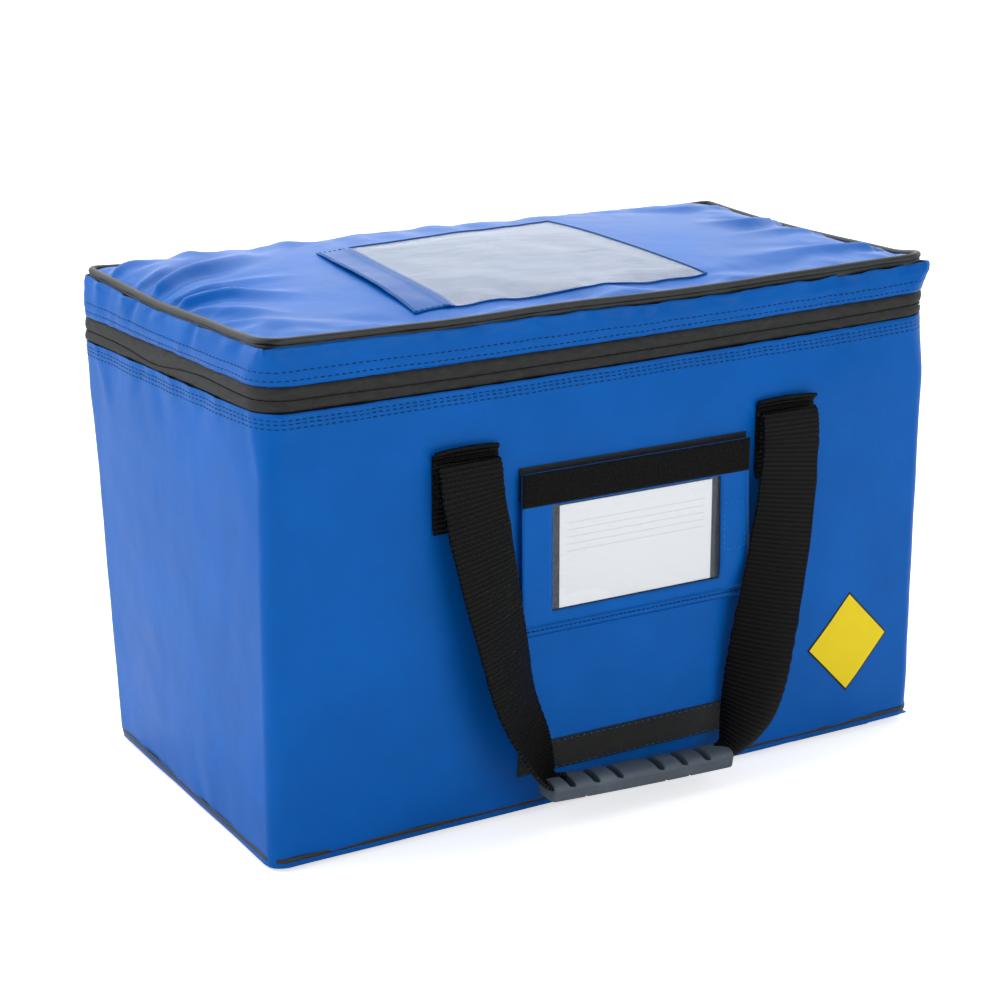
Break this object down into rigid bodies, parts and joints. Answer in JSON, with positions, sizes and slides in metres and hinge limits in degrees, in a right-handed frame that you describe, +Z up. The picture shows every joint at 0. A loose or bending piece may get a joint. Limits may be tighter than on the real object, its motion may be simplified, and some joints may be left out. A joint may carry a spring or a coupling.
{
  "type": "insulated specimen bag",
  "caption": "Padded box bag with a hinged zipped lid, foam walls, webbing handles with moulded grips and a flip-over address flap.",
  "frame": {"origin": "on the surface that the bag stands on, under the middle of the bag", "axes": "+X along the bag to its right end, front facing -Y, +Z up"},
  "size_m": [0.4646, 0.3068, 0.3144],
  "materials": {
    "coated_cloth": "satin",
    "webbing": "matte",
    "tape": "satin",
    "teeth": "matte",
    "foam": "matte",
    "liner": "satin",
    "board": "matte",
    "film": "gloss",
    "grip": "satin",
    "hook_and_loop": "matte",
    "card": "matte",
    "mark": "satin",
    "piping": "satin",
    "slider": "satin",
    "pin": "satin",
    "skid": "matte"
  },
  "bodies": {
    "bag": {"outer_wall": "coated_cloth", "base_binding": "tape", "base_panel": "coated_cloth", "base_board": "board", "skid_left": "skid", "skid_right": "skid", "foam_base": "foam", "foam_left": "foam", "foam_right": "foam", "foam_front": "foam", "foam_back": "foam", "inner_liner": "liner", "zip_tape_lower": "tape", "zip_teeth_lower": "teeth", "hinge_strip_lower": "coated_cloth", "front_anchor_left": "webbing", "front_anchor_right": "webbing", "back_anchor_left": "webbing", "back_anchor_right": "webbing", "label_hook_upper": "hook_and_loop", "label_hook_lower": "hook_and_loop", "label_flap_seam": "coated_cloth", "marker_patch": "mark"},
    "lid": {"zip_tape_upper": "tape", "zip_teeth_upper": "teeth", "hinge_strip_upper": "coated_cloth", "lid_top_panel": "coated_cloth", "lid_padding": "foam", "lid_skirt": "coated_cloth", "lid_piping": "piping", "lid_foam": "foam", "lid_liner": "liner", "document_pocket": "film", "pocket_edge_strip": "coated_cloth"},
    "front_handle": {"front_strap_left": "webbing", "front_strap_right": "webbing", "front_grip": "grip", "front_grip_webbing": "webbing"},
    "back_handle": {"back_strap_left": "webbing", "back_strap_right": "webbing", "back_grip": "grip", "back_grip_webbing": "webbing"},
    "label_flap": {"label_flap_panel": "coated_cloth", "label_window": "film", "label_pocket_back": "coated_cloth", "label_loop_front": "hook_and_loop", "label_loop_back": "hook_and_loop"},
    "label_card": {"label_card": "card"},
    "zip_slider": {"zip_slider": "slider", "zip_pin": "pin"},
    "zip_pull": {"zip_pull": "slider"}
  },
  "joints": [
    {"name": "lid_hinge", "type": "hinge", "parent": "bag", "child": "lid", "pos_m": [0, 0.1233, 0.276], "axis": [-1, 0, 0], "range_deg": [0, 105]},
    {"name": "front_handle_swing", "type": "hinge", "parent": "bag", "child": "front_handle", "pos_m": [0, -0.1285, 0.225], "axis": [-1, 0, 0], "range_deg": [0, 170], "deforming": ["front_strap_left", "front_strap_right"]},
    {"name": "back_handle_swing", "type": "hinge", "parent": "bag", "child": "back_handle", "pos_m": [0, 0.1285, 0.225], "axis": [1, 0, 0], "range_deg": [0, 140], "deforming": ["back_strap_left", "back_strap_right"]},
    {"name": "label_flap_hinge", "type": "hinge", "parent": "bag", "child": "label_flap", "pos_m": [0, -0.1283, 0.1195], "axis": [1, 0, 0], "range_deg": [0, 180]},
    {"name": "card_slide", "type": "slide", "parent": "label_flap", "child": "label_card", "axis": [1, 0, 0], "range_m": [0, 0.132]},
    {"name": "zip_slide", "type": "slide", "parent": "bag", "child": "zip_slider", "axis": [0, -1, 0], "range_m": [0, 0.17]},
    {"name": "pull_swing", "type": "hinge", "parent": "zip_slider", "child": "zip_pull", "pos_m": [0.23235, 0.092, 0.276], "axis": [0, 0, 1], "range_deg": [0, 170]}
  ]
}
